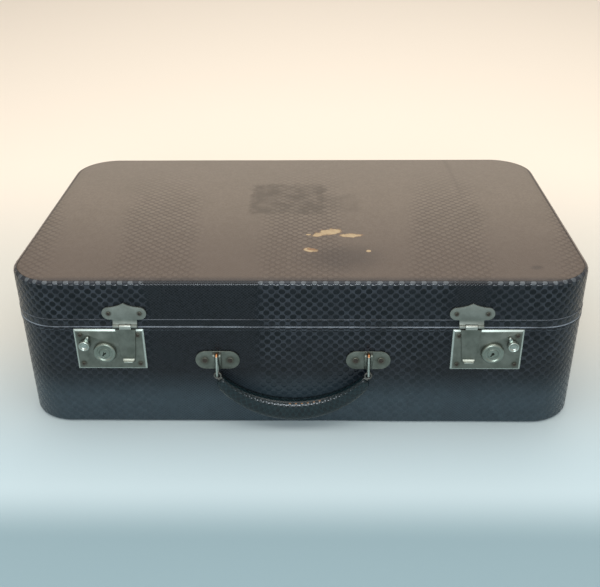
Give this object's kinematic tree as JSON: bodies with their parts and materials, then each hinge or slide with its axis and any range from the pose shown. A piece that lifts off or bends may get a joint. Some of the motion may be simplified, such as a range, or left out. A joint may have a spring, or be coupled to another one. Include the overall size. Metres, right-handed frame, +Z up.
{
  "type": "suitcase",
  "caption": "Small hard suitcase in snakeskin-embossed leathercloth, with key locks and hasps on its front, a curved grip on wire rings and a lid hinged at the back.",
  "frame": {"origin": "middle of the bottom face, on the surface that the case lies on", "axes": "+X along the case to the right seen from the locks, +Y from the locks to the hinges, +Z up out of the lid"},
  "size_m": [0.457, 0.2865, 0.1357],
  "materials": {
    "leathercloth": "snakeskin-embossed leathercloth, dark blue-black, semi-gloss",
    "faded_leathercloth": "the same leathercloth, sun-faded to a worn brown",
    "fibreboard": "pressed fibreboard",
    "lining_paper": "printed lining paper",
    "lip_cloth": "cloth-covered board",
    "nickel_plate": "nickel plate gone dull and slightly green",
    "steel": "plain steel",
    "rusty_steel": "rusted tubular rivets",
    "grip_leather": "glossy green-black snakeskin leather"
  },
  "bodies": {
    "base": {"base_wall_covering": "leathercloth", "base_bottom_covering": "leathercloth", "base_rim_binding": "leathercloth", "base_wall": "fibreboard", "base_bottom": "fibreboard", "base_lining": "lining_paper", "closing_lip": "lip_cloth", "lock_plate_left": "nickel_plate", "key_boss_left": "nickel_plate", "handle_plate_left": "nickel_plate", "hinge_base_leaf_left": "nickel_plate", "lock_spring_left": "steel", "lock_rivet_left_low_inner": "rusty_steel", "lock_rivet_left_low_outer": "rusty_steel", "lock_rivet_left_high_inner": "rusty_steel", "lock_rivet_left_high_outer": "rusty_steel", "handle_rivet_left_a": "rusty_steel", "handle_rivet_left_b": "rusty_steel", "lock_plate_right": "nickel_plate", "key_boss_right": "nickel_plate", "handle_plate_right": "nickel_plate", "hinge_base_leaf_right": "nickel_plate", "lock_spring_right": "steel", "lock_rivet_right_low_inner": "rusty_steel", "lock_rivet_right_low_outer": "rusty_steel", "lock_rivet_right_high_inner": "rusty_steel", "lock_rivet_right_high_outer": "rusty_steel", "handle_rivet_right_a": "rusty_steel", "handle_rivet_right_b": "rusty_steel"},
    "lid": {"lid_wall_covering": "leathercloth", "lid_rim_binding": "leathercloth", "lid_top_covering": "faded_leathercloth", "lid_wall": "fibreboard", "lid_top_panel": "fibreboard", "lid_lining": "lining_paper", "hasp_plate_left": "nickel_plate", "hinge_lid_leaf_left": "nickel_plate", "hasp_pin_left": "steel", "hinge_pin_left": "steel", "hasp_rivet_left_a": "rusty_steel", "hasp_rivet_left_b": "rusty_steel", "hasp_plate_right": "nickel_plate", "hinge_lid_leaf_right": "nickel_plate", "hasp_pin_right": "steel", "hinge_pin_right": "steel", "hasp_rivet_right_a": "rusty_steel", "hasp_rivet_right_b": "rusty_steel"},
    "hasp_left": {"hasp_leaf_left": "nickel_plate"},
    "hasp_right": {"hasp_leaf_right": "nickel_plate"},
    "button_left": {"lock_button_left": "nickel_plate", "lock_bolt_left": "steel"},
    "button_right": {"lock_button_right": "nickel_plate", "lock_bolt_right": "steel"},
    "key_left": {"key_plug_left": "steel"},
    "key_right": {"key_plug_right": "steel"},
    "handle_rings": {"handle_ring_left": "nickel_plate", "handle_ring_right": "nickel_plate"},
    "handle": {"handle_core": "steel", "handle_cover": "grip_leather"}
  },
  "joints": [
    {"name": "lid_hinge", "type": "hinge", "parent": "base", "child": "lid", "pos_m": [0, 0.1373, 0.0936], "axis": [-1, 0, 0], "range_deg": [0, 100]},
    {"name": "hasp_left_swing", "type": "hinge", "parent": "lid", "child": "hasp_left", "pos_m": [-0.1358, -0.138, 0.0949], "axis": [-1, 0, 0], "range_deg": [0, 150]},
    {"name": "hasp_right_swing", "type": "hinge", "parent": "lid", "child": "hasp_right", "pos_m": [0.1342, -0.138, 0.0949], "axis": [-1, 0, 0], "range_deg": [0, 150]},
    {"name": "button_left_slide", "type": "slide", "parent": "base", "child": "button_left", "axis": [-1, 0, 0], "range_m": [0, 0.003], "stiffness_N_per_m": 200, "springref_m": -0.002, "deforming": ["lock_spring_left"]},
    {"name": "button_right_slide", "type": "slide", "parent": "base", "child": "button_right", "axis": [1, 0, 0], "range_m": [0, 0.003], "stiffness_N_per_m": 200, "springref_m": -0.002, "deforming": ["lock_spring_right"]},
    {"name": "key_left_turn", "type": "hinge", "parent": "base", "child": "key_left", "pos_m": [-0.1543, -0.1354, 0.0712], "axis": [0, -1, 0], "range_deg": [0, 90]},
    {"name": "key_right_turn", "type": "hinge", "parent": "base", "child": "key_right", "pos_m": [0.1527, -0.1354, 0.0712], "axis": [0, 1, 0], "range_deg": [0, 90]},
    {"name": "handle_rings_swing", "type": "hinge", "parent": "base", "child": "handle_rings", "pos_m": [-0.005, -0.1405, 0.0683], "axis": [-1, 0, 0], "range_deg": [0, 100]},
    {"name": "handle_tilt", "type": "hinge", "parent": "handle_rings", "child": "handle", "pos_m": [-0.005, -0.1419, 0.0514], "axis": [-1, 0, 0], "range_deg": [0, 20]}
  ]
}
